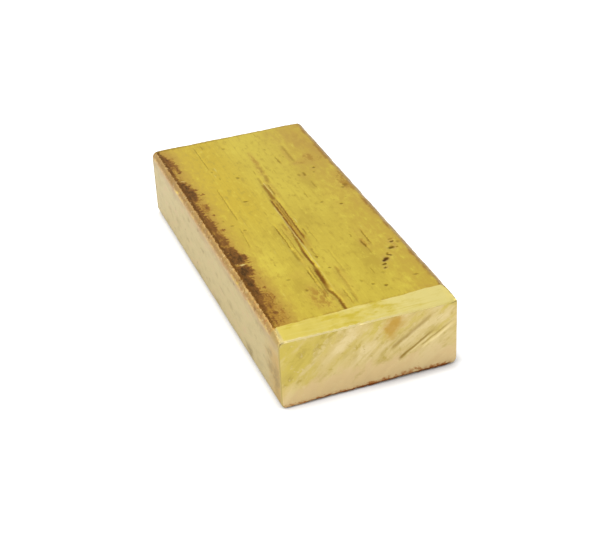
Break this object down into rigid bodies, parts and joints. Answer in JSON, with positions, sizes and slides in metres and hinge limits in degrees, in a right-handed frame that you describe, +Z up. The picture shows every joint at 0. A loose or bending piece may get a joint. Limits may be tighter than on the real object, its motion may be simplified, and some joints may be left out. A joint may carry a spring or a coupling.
{
  "type": "brass bar ingot",
  "caption": "Short ingot sawn from drawn brass flat bar, with rounded long edges, rough sawn ends and a shallow filed bevel across the top of the near end.",
  "frame": {"origin": "centre of the bounding box at the underside, on the surface that the bar lies on", "axes": "+X across the bar to the right, +Y along its length to the far sawn end, +Z up; the filed bevel is on the top of the -Y end"},
  "size_m": [0.035, 0.0804, 0.015],
  "materials": {
    "brass": "drawn and tarnished on the long faces, bright and rough on the sawn end, smooth on the filed bevel"
  },
  "bodies": {
    "root": {"brass_bar": "brass"}
  },
  "joints": []
}
